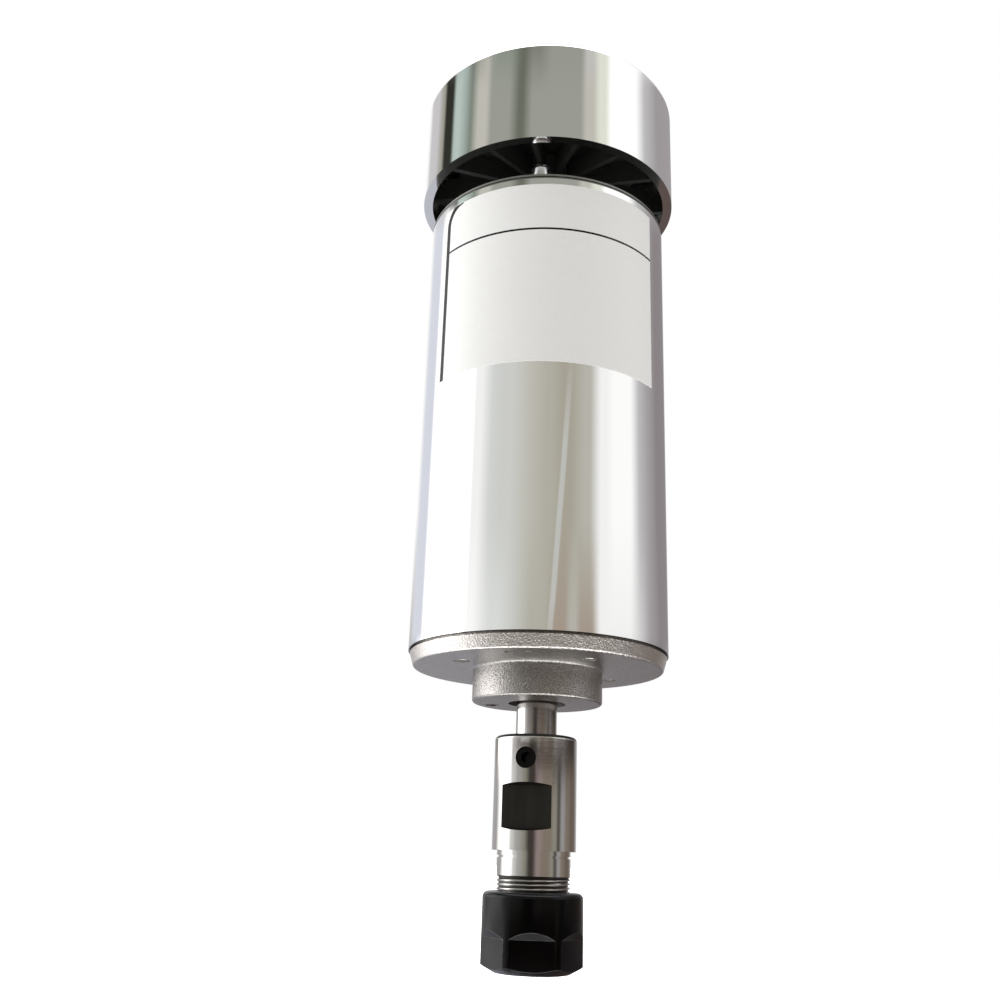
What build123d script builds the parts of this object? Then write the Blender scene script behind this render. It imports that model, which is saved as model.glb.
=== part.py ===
from build123d import *
import os
from math import cos, pi, radians, sin, sqrt, tan

# Air-cooled brushed spindle motor with a collet arbor on its shaft.
# Millimetres. +Z runs up the shaft from the collet to the fan cover, and the origin is the centre of
# the motor tube's front edge. Angles turn about Z from +X; the rating plate faces -Y.

# ---- Motor tube and rating plate
tube_radius = 26.0
tube_wall = 2.5
tube_length = 95.0
tube_edge = 0.3
plate_thick = 0.08
plate_height = 40.0
plate_drop = 2.0
plate_angle = -146.0
plate_sweep = 113.5

# ---- Front end bell
flange_thickness = 2.95
flange_inset = 0.3
flange_draft = 0.75
flange_round = 0.45
joint_groove = 0.35
joint_groove_depth = 0.7
boss_radius = 12.9
boss_length = 6.55
boss_round = 0.5
boss_lip = 2.0
boss_hole_radius = 5.65
bell_floor = 1.0
spigot_height = 5.0
spigot_wall = 4.8
flange_hole_circle = 17.5
flange_hole_radius = 1.65
flange_hole_count = 4
flange_hole_angle = 33.0
pin_mark_circle = 21.2
pin_mark_radius = 0.9
pin_mark_depth = 0.9
pin_mark_angle = -99.8
pin_mark_pitch = 9.6
vent_circle = 9.6
vent_radius = 1.4
vent_angle = 160.0

# ---- Rear end bell, with the bosses of the through bolts
rear_spigot = 3.0
rear_cover = 0.6
rear_cover_inset = 0.6
rear_boss_radius = 13.5
rear_lip = 1.0
rear_hole_clearance = 1.2
bolt_boss_radius = 3.0
bolt_boss_height = 0.8
bolt_radius = 1.5
bolt_wall_gap = 1.0
bolt_head_radius = 2.2
bolt_head_height = 4.3
bolt_head_round = 1.5
bolt_bite = 1.2
bolt_angle = -94.0
bolt_cross = 2.6
bolt_cross_width = 0.7
bolt_cross_depth = 1.5

# ---- Ball bearings
front_bearing_bore = 4.0
front_bearing_radius = 11.0
front_bearing_width = 7.0
front_ball_radius = 1.98
rear_bearing_bore = 3.0
rear_bearing_radius = 9.5
rear_bearing_width = 6.0
rear_ball_radius = 1.75
ball_count = 7
ball_clearance = 0.05
race_land_share = 0.73
shield_thick = 0.35
shield_inset = 0.15
shield_gap = 0.3
cage_wall = 0.5
cage_web = 0.45
cage_pocket_gap = 0.12
preload_washer_thick = 0.6
preload_washer_width = 2.2
preload_washer_gap = 0.1

# ---- Magnets, armature and commutator
magnet_thickness = 5.0
magnet_sweep = 130.0
magnet_overhang = 3.0
air_gap = 0.8
core_front_space = 5.2
slot_count = 12
tooth_width = 3.1
tooth_tip = 1.3
slot_mouth = 1.8
slot_floor_radius = 9.6
fibre_thick = 0.8
winding_overhang = 8.0
winding_inset = 0.2
winding_round = 2.4
winding_bore_gap = 2.2
spacer_wall = 1.6
commutator_radius = 9.6
commutator_length = 12.0
commutator_core = 7.2
commutator_bars_count = 24
commutator_slit = 0.45
riser_height = 2.2
riser_radius = 11.2
commutator_gap = 1.0

# ---- Brush gear
brush_long = 6.0
brush_wide = 5.0
brush_tall = 7.5
brush_track_margin = 1.2
brush_face_gap = 0.06
brush_box_gap = 0.06
brush_box_wall = 0.6
brush_box_standoff = 1.4
brush_box_clearance = 2.0
brush_plate_thick = 2.4
brush_plate_gap = 0.5
brush_plate_bore_gap = 1.8
spring_radius = 1.8
spring_wire = 0.3
spring_turns = 4
blade_thick = 0.8
blade_wide = 4.8
blade_stand = 6.0
blade_tail = 0.8
blade_hole = 0.8
blade_circle = 18.0
blade_spread = 30.0
board_screw_circle = 15.0
board_screw_radius = 1.0
board_screw_head = 1.9
board_screw_head_height = 1.2
board_screw_bite = 1.8
board_screw_angle = -60.0

# ---- Fan, fan guide and fan cover
cover_radius = 28.4
cover_wall = 2.0
cover_top = 1.6
cover_height = 23.9
cover_round = 1.0
air_outlet = 7.8
rib_rise = 6.45
rib_count = 12
rib_thick = 1.1
rib_height = 5.4
rib_angle = -100.5
guide_foot = 1.2
guide_neck_radius = 6.0
guide_ring_wall = 1.3
guide_ring_lift = 3.3
guide_ring_height = 4.0
guide_screw_radius = 1.0
guide_screw_head = 1.85
guide_screw_count = 3
guide_screw_bite = 5.0
post_radius = 2.2
post_count = 4
post_wall_gap = 0.1
post_angle = 49.5
cover_screw_radius = 1.25
cover_screw_head = 2.3
cover_screw_bite = 7.0
intake_count = 16
intake_width = 2.4
intake_inner = 9.5
intake_outer = 19.5
fan_clearance = 0.8
fan_tip_gap = 0.8
fan_hub_radius = 5.5
fan_hub_height = 5.2
fan_disc = 1.2
fan_blade_count = 9
fan_blade_thick = 1.1
fan_blade_offset = 4.6
fan_journal = 2.5
fan_nut_across = 8.0
fan_nut_height = 2.4

# ---- Shaft, collet arbor, collet and nut
shaft_radius = 4.0
shaft_grip = 19.0
arbor_gap = 6.5
arbor_radius = 8.0
arbor_length = 21.2
arbor_round = 0.8
arbor_through_radius = 3.0
neck_radius = 7.0
neck_length = 4.5
neck_groove_drop = 0.9
neck_groove = 0.4
neck_groove_depth = 0.3
thread_length = 11.3
arbor_angle = -104.0
set_screw_radius = 2.0
set_screw_drop = 4.5
set_screw_sunk = 0.7
set_screw_tip = 0.6
set_screw_socket = 2.0
set_screw_socket_depth = 1.7
flat_drop = 9.5
flat_height = 7.7
flat_across = 12.8
collet_radius = 5.75
collet_taper = 8.0
collet_taper_length = 13.0
collet_land = 0.9
collet_groove_radius = 4.6
collet_groove_width = 1.6
collet_lip_radius = 5.45
collet_lip_width = 0.5
collet_nose_angle = 30.0
collet_nose_length = 2.0
collet_bore = 1.5875
collet_slot = 0.4
collet_slot_pairs = 4
collet_slot_stop = 2.5
seat_gap = 0.08
nut_radius = 9.5
nut_across = 17.0
nut_length = 14.1
nut_engagement = 8.5
nut_flat_height = 6.1
nut_flat_run_out = 1.3
nut_round = 1.1
nut_face_radius = 7.1
nut_face_chamfer = 1.3
nut_thread_gap = 0.06
nut_lip_gap = 0.3

# ---- Levels and radii that follow from the sizes above
tube_bore = tube_radius - tube_wall
flange_radius = tube_radius - flange_inset
flange_low = -flange_thickness
boss_low = flange_low - boss_length
front_bearing_low = boss_low + boss_lip
front_bearing_high = front_bearing_low + front_bearing_width
bell_low = tube_length - rear_spigot
bell_high = tube_length + rear_cover
rear_bearing_low = tube_length
rear_bearing_high = rear_bearing_low + rear_bearing_width
rear_pocket_high = rear_bearing_high + preload_washer_thick
rear_boss_high = rear_pocket_high + rear_lip
rear_hole_radius = rear_bearing_bore + rear_hole_clearance
bolt_circle = tube_bore - bolt_wall_gap - bolt_radius
board_low = bell_low - brush_plate_thick
brush_high = board_low - brush_box_wall - brush_box_gap
brush_low = brush_high - brush_tall
brush_inner = commutator_radius + brush_face_gap
brush_outer = brush_inner + brush_long
box_outer = tube_bore - brush_box_clearance - brush_box_wall
spring_length = box_outer - brush_outer
commutator_high = brush_high + brush_track_margin
commutator_low = commutator_high - commutator_length
core_radius = tube_bore - magnet_thickness - air_gap
core_low = spigot_height + core_front_space + winding_overhang + fibre_thick
core_high = commutator_low - commutator_gap - winding_overhang - fibre_thick
cover_low = tube_length + air_outlet
cover_high = cover_low + cover_height
cover_bore = cover_radius - cover_wall
cover_ceiling = cover_high - cover_top
rib_low = cover_low + rib_rise
rib_high = rib_low + rib_height
post_circle = cover_bore - post_radius - post_wall_gap
fan_radius = post_circle - post_radius - fan_tip_gap
fan_low = rib_high + fan_clearance
fan_high = fan_low + fan_hub_height
shaft_high = fan_high + fan_nut_height
arbor_high = boss_low - arbor_gap
arbor_low = arbor_high - arbor_length
nose = arbor_low - neck_length - thread_length
collet_wide = nose
collet_high = collet_wide + collet_taper_length
groove_high = collet_wide - collet_land
groove_low = groove_high - collet_groove_width
collet_nose_high = groove_low - collet_lip_width
collet_low = collet_nose_high - collet_nose_length
nut_high = nose + nut_engagement
nut_low = nut_high - nut_length


def turned(*outline):
    """Solid turned about Z from a closed outline of (radius, height) corners."""
    return revolve(Plane.XZ * make_face(Polyline(*outline, close=True)), Axis.Z)


def rod(radius, low, high):
    """Round bar on the axis between two heights."""
    return Pos(0, 0, low) * extrude(Circle(radius), high - low)


def ring(inner, outer, low, high):
    """Plain ring on the axis between two heights."""
    return Pos(0, 0, low) * extrude(Circle(outer) - Circle(inner), high - low)


def around(shape, count, start=0.0):
    """Copies of a shape turned evenly about Z."""
    return [Rot(0, 0, start + 360 * k / count) * shape for k in range(count)]


def at(radius, angle, height=0.0):
    """Place on a circle about Z, turned to face outward."""
    return Rot(0, 0, angle) * Pos(radius, 0, height)


def rims(shape, radius, height):
    """Circular edges of a shape at one radius and height."""
    return [
        e for e in shape.edges().filter_by(GeomType.CIRCLE)
        if abs(e.radius - radius) < 1e-4 and abs(e.arc_center.Z - height) < 1e-4
    ]


def flat_screw(radius, head, length, top=0.0):
    """Countersunk screw pointing down, its head flush with a height."""
    cone = turned((0, top), (head, top), (radius, top - (head - radius)), (0, top - (head - radius)))
    return cone + rod(radius, top - length, top)


# ---- Stator
def motor_housing():
    """Drawn steel tube, its rear edge broken and its front edge left square on the bell."""
    tube = ring(tube_bore, tube_radius, 0, tube_length)
    return chamfer(rims(tube, tube_radius, tube_length), tube_edge)


def rating_plate():
    """Thin plate wrapped on the tube below its rear edge."""
    low = tube_length - plate_drop - plate_height
    outline = Pos(tube_radius + plate_thick / 2, low + plate_height / 2)
    outline *= Rectangle(plate_thick, plate_height)
    return Rot(0, 0, plate_angle) * revolve(Plane.XZ * outline, Axis.Z, plate_sweep)


def front_end_bell():
    """Cast bell: drafted flange, bearing boss below it and a spigot inside the tube."""
    body = turned(
        (0, boss_low), (boss_radius, boss_low), (boss_radius, flange_low),
        (flange_radius - flange_draft, flange_low), (flange_radius, -joint_groove),
        (flange_radius - joint_groove_depth, -joint_groove), (flange_radius - joint_groove_depth, 0),
        (tube_bore, 0), (tube_bore, spigot_height), (tube_bore - spigot_wall, spigot_height),
        (tube_bore - spigot_wall, bell_floor), (0, bell_floor),
    )
    body = fillet(rims(body, flange_radius - flange_draft, flange_low), flange_round)
    body = fillet(rims(body, boss_radius, boss_low), boss_round)
    body = fillet(rims(body, boss_radius, flange_low), boss_round)
    body -= rod(front_bearing_radius, front_bearing_low, bell_floor)
    body -= rod(boss_hole_radius, boss_low, front_bearing_low)
    hole = Pos(flange_hole_circle, 0, 0) * rod(flange_hole_radius, flange_low, bell_floor)
    body -= around(hole, flange_hole_count, flange_hole_angle)
    bolt = Pos(bolt_circle, 0, 0) * rod(bolt_radius, -bolt_bite, spigot_height)
    body -= around(bolt, 2, bolt_angle)
    for side in (-1, 1):
        mark = rod(pin_mark_radius, flange_low, flange_low + pin_mark_depth)
        body -= at(pin_mark_circle, pin_mark_angle + side * pin_mark_pitch / 2) * mark
    return body - at(vent_circle, vent_angle) * rod(vent_radius, boss_low, boss_low + boss_lip * 0.6)


def rear_end_bell():
    """Moulded bell that closes the tube, carries the rear bearing and takes the bolt heads."""
    body = turned(
        (0, bell_low), (tube_bore, bell_low), (tube_bore, tube_length),
        (tube_radius - rear_cover_inset, tube_length), (tube_radius - rear_cover_inset, bell_high),
        (rear_boss_radius, bell_high), (rear_boss_radius, rear_boss_high), (0, rear_boss_high),
    )
    boss = Pos(bolt_circle, 0, 0) * rod(bolt_boss_radius, bell_low, bell_high + bolt_boss_height)
    body += around(boss, 2, bolt_angle)
    room = rod(tube_bore, bell_low, rear_boss_high)
    body &= room + rod(tube_radius - rear_cover_inset, tube_length, rear_boss_high)
    body -= rod(rear_bearing_radius, bell_low, rear_pocket_high)
    body -= rod(rear_hole_radius, rear_pocket_high, rear_boss_high)
    bolt = Pos(bolt_circle, 0, 0) * rod(bolt_radius, bell_low, bell_high + bolt_boss_height)
    body -= around(bolt, 2, bolt_angle)
    body -= [blade_slot(side, bell_low, bell_high) for side in (-1, 1)]
    body -= around(board_screw_hole(bell_low, bell_low + board_screw_bite), 2, board_screw_angle)
    thread = rod(guide_screw_radius, rear_boss_high + guide_foot - guide_screw_bite, rear_boss_high)
    return body - around(Pos(guide_screw_circle(), 0, 0) * thread, guide_screw_count, -bolt_angle)


def through_bolts():
    """Two long bolts that clamp both bells onto the tube, heads up with a cross recess."""
    seat = bell_high + bolt_boss_height
    top = seat + bolt_head_height
    head = rod(bolt_head_radius, seat, top)
    head = fillet(rims(head, bolt_head_radius, top), bolt_head_round)
    head -= around(Pos(0, 0, top) * Box(bolt_cross, bolt_cross_width, 2 * bolt_cross_depth), 4)
    bolt = Pos(bolt_circle, 0, 0) * (head + rod(bolt_radius, -bolt_bite, seat))
    return Part() + around(bolt, 2, bolt_angle)


def magnet(angle):
    """Ferrite arc bonded inside the tube."""
    inner = tube_bore - magnet_thickness
    low, high = core_low - magnet_overhang, core_high + magnet_overhang
    outline = Pos((inner + tube_bore) / 2, (low + high) / 2) * Rectangle(magnet_thickness, high - low)
    return Rot(0, 0, angle - magnet_sweep / 2) * revolve(Plane.XZ * outline, Axis.Z, magnet_sweep)


# ---- Ball bearings
def bearing(bore, outer, width, ball, low):
    """Shielded deep-groove ball bearing as its separate pieces, keyed by what each one is."""
    pitch, middle = (bore + outer) / 2, low + width / 2
    inner_land, outer_land = pitch - ball * race_land_share, pitch + ball * race_land_share
    groove = Pos(0, 0, middle) * Torus(pitch, ball + ball_clearance)
    shield_low = low + shield_inset
    shield_high = low + width - shield_inset - shield_thick
    shields = [
        ring(inner_land + shield_gap, outer_land, z, z + shield_thick) for z in (shield_low, shield_high)
    ]
    reach = ball + cage_web
    balls = around(Pos(pitch, 0, middle) * Sphere(ball), ball_count)
    pocket = Pos(pitch, 0, middle) * Rot(0, 90, 0) * Cylinder(ball + cage_pocket_gap, 4 * cage_wall)
    cage = ring(pitch - cage_wall, pitch + cage_wall, middle - reach, middle + reach)
    return {
        "outer_race": ring(outer_land, outer, low, low + width) - groove,
        "inner_race": ring(bore, inner_land, low, low + width) - groove,
        "shields": Part() + shields,
        "cage": cage - around(pocket, ball_count),
        "balls": Part() + balls,
    }


def preload_washer():
    """Spring washer between the rear bearing's outer race and its pocket, drawn pressed flat."""
    outer = rear_bearing_radius - preload_washer_gap
    return ring(rear_bearing_radius - preload_washer_width, outer, rear_bearing_high, rear_pocket_high)


# ---- Armature
def shaft_spacer():
    """Sleeve between the front bearing and the armature's core."""
    return ring(shaft_radius, shaft_radius + spacer_wall, front_bearing_high, core_low - fibre_thick)


def slot_outline(inset=0.0):
    """Wound part of one slot on +X, between teeth of constant width."""
    inner, outer = slot_floor_radius + inset, core_radius - tooth_tip - inset
    half_inner = (2 * pi * inner / slot_count - tooth_width) / 2 - inset
    half_outer = (2 * pi * outer / slot_count - tooth_width) / 2 - inset
    corners = (inner, -half_inner), (outer, -half_outer), (outer, half_outer), (inner, half_inner)
    return make_face(Polyline(*corners, close=True))


def lamination(low, high):
    """Slotted stack of the armature's section between two heights."""
    mouth = Pos(core_radius, 0) * Rectangle(4 * tooth_tip, slot_mouth)
    section = Circle(core_radius) - Circle(shaft_radius)
    section -= around(slot_outline() + mouth, slot_count)
    return Pos(0, 0, low) * extrude(section, high - low)


def armature_winding():
    """Copper in the slots, joined to a rounded bundle of end turns at each end."""
    low, high = core_low - fibre_thick, core_high + fibre_thick
    outer = core_radius - tooth_tip - winding_inset
    inner = shaft_radius + winding_bore_gap
    bars = Pos(0, 0, low) * extrude(Sketch() + around(slot_outline(winding_inset), slot_count), high - low)
    front_low, rear_high = low - winding_overhang, high + winding_overhang
    front = ring(inner, outer, front_low, low)
    front = fillet(rims(front, outer, front_low) + rims(front, inner, front_low), winding_round)
    rear = ring(inner, outer, high, rear_high)
    rear = fillet(rims(rear, outer, rear_high) + rims(rear, inner, rear_high), winding_round)
    return bars + front + rear


def commutator_bars():
    """Copper bars round the insulating hub, with risers beside the winding."""
    blank = turned(
        (commutator_core, commutator_low), (riser_radius, commutator_low),
        (riser_radius, commutator_low + riser_height), (commutator_radius, commutator_low + riser_height),
        (commutator_radius, commutator_high), (commutator_core, commutator_high),
    )
    slit = Pos(riser_radius, 0, (commutator_low + commutator_high) / 2)
    slit *= Box(2 * (riser_radius - commutator_core) + 0.4, commutator_slit, 2 * commutator_length)
    return blank - around(slit, commutator_bars_count)


# ---- Brush gear
def board_screw_hole(low, high):
    return Pos(board_screw_circle, 0, 0) * rod(board_screw_radius, low, high)


def blade_slot(side, low, high):
    """Section of a terminal blade where it passes through the board and the bell."""
    middle = Pos(0, 0, (low + high) / 2) * Box(blade_thick, blade_wide, high - low)
    return at(blade_circle, 90 + side * blade_spread) * middle


def brush_board():
    """Insulating board under the rear bell that carries the brush boxes."""
    board = ring(commutator_radius + brush_plate_bore_gap, tube_bore - brush_plate_gap, board_low, bell_low)
    board -= around(Pos(bolt_circle, 0, 0) * rod(bolt_radius, board_low, bell_low), 2, bolt_angle)
    board -= around(board_screw_hole(board_low, bell_low), 2, board_screw_angle)
    return board - [blade_slot(side, board_low, bell_low) for side in (-1, 1)]


def board_screws():
    """Two screws that hold the brush board to the bell, heads down."""
    head = rod(board_screw_head, board_low - board_screw_head_height, board_low)
    screw = head + rod(board_screw_radius, board_low, bell_low + board_screw_bite)
    return Part() + around(Pos(board_screw_circle, 0, 0) * screw, 2, board_screw_angle)


def brush_box(angle):
    """Brass guide box of one brush, closed at its outer end for the spring."""
    inner = commutator_radius + brush_box_standoff
    wide, tall = brush_wide + 2 * brush_box_gap, brush_tall + 2 * brush_box_gap
    middle = (brush_low + brush_high) / 2
    box = Pos((inner + box_outer + brush_box_wall) / 2, 0, middle)
    box *= Box(box_outer + brush_box_wall - inner, wide + 2 * brush_box_wall, tall + 2 * brush_box_wall)
    box -= Pos((inner + box_outer) / 2, 0, middle) * Box(box_outer - inner, wide, tall)
    return Rot(0, 0, angle) * box


def brush(angle):
    """Carbon brush with its face ground to the commutator."""
    block = Pos((commutator_core + brush_outer) / 2, 0, (brush_low + brush_high) / 2)
    block *= Box(brush_outer - commutator_core, brush_wide, brush_tall)
    return Rot(0, 0, angle) * (block - rod(brush_inner, brush_low, brush_high))


def brush_spring(angle):
    """Coil spring between the brush and the closed end of its box."""
    height = spring_length - 2 * spring_wire
    path = Helix(height / spring_turns, height, spring_radius)
    coil = sweep(Plane(path @ 0, z_dir=path % 0) * Circle(spring_wire), path, is_frenet=True)
    place = Pos(brush_outer + spring_wire, 0, (brush_low + brush_high) / 2) * Rot(0, 90, 0)
    return Rot(0, 0, angle) * place * coil


def terminal(side):
    """Brass blade through the rear bell, drilled for its lead."""
    low, high = board_low - blade_tail, bell_high + blade_stand
    blade = Pos(0, 0, (low + high) / 2) * Box(blade_thick, blade_wide, high - low)
    blade = chamfer(blade.edges().filter_by(Axis.X).group_by(Axis.Z)[-1], blade_wide / 5)
    blade -= Pos(0, 0, high - blade_wide / 2) * Rot(0, 90, 0) * Cylinder(blade_hole, 2 * blade_thick)
    return at(blade_circle, 90 + side * blade_spread) * blade


# ---- Fan end
def guide_screw_circle():
    """Circle of the guide's screws, mid-way in the wall of the rear boss."""
    return (rear_bearing_radius + rear_boss_radius) / 2


def fan_guide():
    """Ribbed moulding on the rear boss: foot, neck, radial ribs, and a ring whose posts take the cover."""
    foot_high = rear_boss_high + guide_foot
    body = rod(rear_boss_radius, rear_boss_high, foot_high) + rod(guide_neck_radius, foot_high, rib_high)
    rib_long = cover_bore - guide_neck_radius / 2
    rib = Pos(cover_bore - rib_long / 2, 0, (rib_low + rib_high) / 2) * Box(rib_long, rib_thick, rib_height)
    body += around(rib, rib_count, rib_angle)
    ring_low = rib_low + guide_ring_lift
    body += ring(cover_bore - guide_ring_wall, cover_bore, ring_low, ring_low + guide_ring_height)
    body += around(Pos(post_circle, 0, 0) * rod(post_radius, ring_low, cover_ceiling), post_count, post_angle)
    body &= rod(cover_bore, rear_boss_high, cover_ceiling)
    body -= rod(rear_hole_radius, rear_boss_high, rib_high)
    screw = flat_screw(guide_screw_radius, guide_screw_head, guide_screw_bite, foot_high)
    body -= around(Pos(guide_screw_circle(), 0, 0) * screw, guide_screw_count, -bolt_angle)
    thread = Pos(post_circle, 0, 0) * rod(cover_screw_radius, cover_high - cover_screw_bite, cover_ceiling)
    return body - around(thread, post_count, post_angle)


def guide_screws():
    """Flat-headed screws from the guide's foot into the rear boss."""
    screw = flat_screw(guide_screw_radius, guide_screw_head, guide_screw_bite, rear_boss_high + guide_foot)
    return Part() + around(Pos(guide_screw_circle(), 0, 0) * screw, guide_screw_count, -bolt_angle)


def fan_cover():
    """Spun cup over the fan, open below, with radial air slots in its top."""
    cup = rod(cover_radius, cover_low, cover_high)
    cup = fillet(rims(cup, cover_radius, cover_high), cover_round)
    cup -= rod(cover_bore, cover_low, cover_ceiling)
    slot = Pos((intake_inner + intake_outer) / 2, 0) * SlotOverall(intake_outer - intake_inner, intake_width)
    cup -= Pos(0, 0, cover_ceiling) * extrude(Sketch() + around(slot, intake_count), cover_top)
    screw = flat_screw(cover_screw_radius, cover_screw_head, cover_screw_bite, cover_high)
    return cup - around(Pos(post_circle, 0, 0) * screw, post_count, post_angle)


def cover_screws():
    """Flat-headed screws from the cover's top into the guide's posts."""
    screw = flat_screw(cover_screw_radius, cover_screw_head, cover_screw_bite, cover_high)
    return Part() + around(Pos(post_circle, 0, 0) * screw, post_count, post_angle)


def fan():
    """Centrifugal fan: a disc with back-leaning blades on top, clamped against the shaft's shoulder."""
    blade = Pos(fan_radius / 2, -fan_blade_offset, (fan_low + fan_high) / 2)
    blade *= Box(fan_radius, fan_blade_thick, fan_hub_height)
    body = rod(fan_hub_radius, fan_low, fan_high) + rod(fan_radius, fan_low, fan_low + fan_disc)
    body += around(blade & rod(fan_radius, fan_low, fan_high), fan_blade_count)
    return body - rod(fan_journal, fan_low, fan_high)


def fan_nut():
    """Hexagon nut on the end of the shaft."""
    section = RegularPolygon(fan_nut_across / 2, 6, major_radius=False) - Circle(fan_journal)
    return Pos(0, 0, fan_high) * extrude(section, fan_nut_height)


# ---- Shaft and collet chuck
def shaft():
    """Stepped shaft: arbor seat, armature seat, rear journal and fan journal."""
    body = rod(shaft_radius, arbor_high - shaft_grip, rear_bearing_low)
    body += rod(rear_bearing_bore, rear_bearing_low, fan_low)
    return body + rod(fan_journal, fan_low, shaft_high)


def side_hole(shape, drop):
    """A shape along +X, placed across the arbor at a depth below its top and repeated behind."""
    return around(Pos(0, 0, arbor_high - drop) * shape, 2, arbor_angle)


def chuck_arbor():
    """Arbor bored for the shaft above and tapered for the collet below, with screws and wrench flats."""
    mouth = collet_radius + seat_gap
    taper = tan(radians(collet_taper))
    body = turned(
        (0, nose), (neck_radius, nose), (neck_radius, arbor_low), (arbor_radius, arbor_low),
        (arbor_radius, arbor_high), (0, arbor_high),
    )
    body = fillet(rims(body, arbor_radius, arbor_high), arbor_round)
    body = chamfer(rims(body, neck_radius, nose), neck_groove)
    groove_top = arbor_low - neck_groove_drop
    body -= ring(neck_radius - neck_groove_depth, 2 * neck_radius, groove_top - neck_groove, groove_top)
    body -= rod(shaft_radius, arbor_high - shaft_grip, arbor_high)
    cavity_high = collet_high + collet_slot
    body -= rod(arbor_through_radius, cavity_high, arbor_high - shaft_grip)
    top = mouth - (cavity_high - nose) * taper
    body -= turned((0, nose), (mouth, nose), (top, cavity_high), (0, cavity_high))
    screw = Cylinder(set_screw_radius, 2 * (arbor_radius - shaft_radius / 2))
    body -= side_hole(Pos(arbor_radius, 0, 0) * Rot(0, 90, 0) * screw, set_screw_drop)
    flat = Pos(flat_across / 2 + arbor_radius / 2, 0, 0) * Box(arbor_radius, 3 * arbor_radius, flat_height)
    return body - side_hole(flat, flat_drop + flat_height / 2)


def set_screws():
    """Socket set screws that bear on the shaft."""
    long = arbor_radius - set_screw_sunk - shaft_radius
    outline = Circle(set_screw_radius)
    socket = RegularPolygon(set_screw_socket / 2, 6, major_radius=False)
    body = extrude(outline, long)
    body -= Pos(0, 0, long - set_screw_socket_depth) * extrude(socket, set_screw_socket_depth)
    tip = Pos(0, 0, -set_screw_tip) * extrude(outline, set_screw_tip)
    seat = rod(shaft_radius, -set_screw_drop - arbor_radius, arbor_radius)
    screw = Pos(shaft_radius, 0, 0) * Rot(0, 90, 0) * (body + tip) - seat
    return Part() + side_hole(screw, set_screw_drop)


def collet():
    """Slit spring collet: back taper, groove for the nut, nose cone and a straight bore."""
    back = collet_radius - collet_taper_length * tan(radians(collet_taper))
    tip = collet_lip_radius - collet_nose_length * tan(radians(collet_nose_angle))
    body = turned(
        (collet_bore, collet_low), (tip, collet_low), (collet_lip_radius, collet_nose_high),
        (collet_lip_radius, groove_low), (collet_groove_radius, groove_low),
        (collet_groove_radius, groove_high), (collet_radius, groove_high), (collet_radius, collet_wide),
        (back, collet_high), (collet_bore, collet_high),
    )
    long = collet_high - collet_low
    slit = Pos((collet_radius + collet_bore) / 2, 0, (collet_low + collet_high) / 2)
    slit *= Box(collet_radius, collet_slot, long)
    body -= around(Pos(0, 0, -collet_slot_stop) * slit, collet_slot_pairs)
    return body - around(Pos(0, 0, collet_slot_stop) * slit, collet_slot_pairs, 180 / collet_slot_pairs)


def clamping_nut():
    """Collet nut: round body with six flats milled at its lower end, a plain bore, a lip and a nose cone."""
    flat, flat_high = nut_across / 2, nut_low + nut_flat_height
    outer = 2 * nut_radius - flat
    rise = 2 * nut_flat_run_out
    cut = make_face(Polyline(
        (flat, nut_low), (outer, nut_low), (outer, flat_high + rise), (flat, flat_high), close=True
    ))
    cut = extrude(Plane.XZ * cut, nut_radius, both=True)
    blank = turned(
        (0, nut_low), (nut_face_radius, nut_low), (nut_radius, nut_low + nut_face_chamfer),
        (nut_radius, nut_high), (0, nut_high),
    )
    blank = fillet(rims(blank, nut_radius, nut_high), nut_round)
    body = blank - around(cut, 6, 30)
    bore = neck_radius + nut_thread_gap
    lip = collet_groove_radius + nut_lip_gap
    lip_low, lip_high = groove_low + nut_lip_gap, groove_high - nut_lip_gap
    chamber = collet_lip_radius + seat_gap
    fall = collet_nose_length * tan(radians(collet_nose_angle))
    body -= turned(
        (0, nut_high), (bore + neck_groove, nut_high), (bore, nut_high - neck_groove), (bore, lip_high),
        (lip, lip_high), (lip, lip_low), (chamber, lip_low), (chamber, collet_nose_high),
        (chamber - fall, collet_low), (chamber - fall, nut_low), (0, nut_low),
    )
    return body


# ---- The parts, one file for each piece
front = bearing(
    front_bearing_bore, front_bearing_radius, front_bearing_width, front_ball_radius, front_bearing_low
)
rear = bearing(
    rear_bearing_bore, rear_bearing_radius, rear_bearing_width, rear_ball_radius, rear_bearing_low
)

parts = {
    "motor_housing": motor_housing(),
    "rating_plate": rating_plate(),
    "front_end_bell": front_end_bell(),
    "rear_end_bell": rear_end_bell(),
    "through_bolts": through_bolts(),
    "magnet_left": magnet(180),
    "magnet_right": magnet(0),
    "preload_washer": preload_washer(),
    "brush_board": brush_board(),
    "board_screws": board_screws(),
    "brush_box_left": brush_box(180),
    "brush_box_right": brush_box(0),
    "brush_left": brush(180),
    "brush_right": brush(0),
    "brush_spring_left": brush_spring(180),
    "brush_spring_right": brush_spring(0),
    "terminal_left": terminal(1),
    "terminal_right": terminal(-1),
    "fan_guide": fan_guide(),
    "guide_screws": guide_screws(),
    "fan_cover": fan_cover(),
    "cover_screws": cover_screws(),
    "shaft": shaft(),
    "shaft_spacer": shaft_spacer(),
    "armature_core": lamination(core_low, core_high),
    "front_end_fibre": lamination(core_low - fibre_thick, core_low),
    "rear_end_fibre": lamination(core_high, core_high + fibre_thick),
    "armature_winding": armature_winding(),
    "commutator_hub": ring(shaft_radius, commutator_core, commutator_low, commutator_high),
    "commutator_bars": commutator_bars(),
    "fan": fan(),
    "fan_nut": fan_nut(),
    "chuck_arbor": chuck_arbor(),
    "set_screws": set_screws(),
    "collet": collet(),
    "clamping_nut": clamping_nut(),
}
parts.update({"front_bearing_" + name: piece for name, piece in front.items()})
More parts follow.
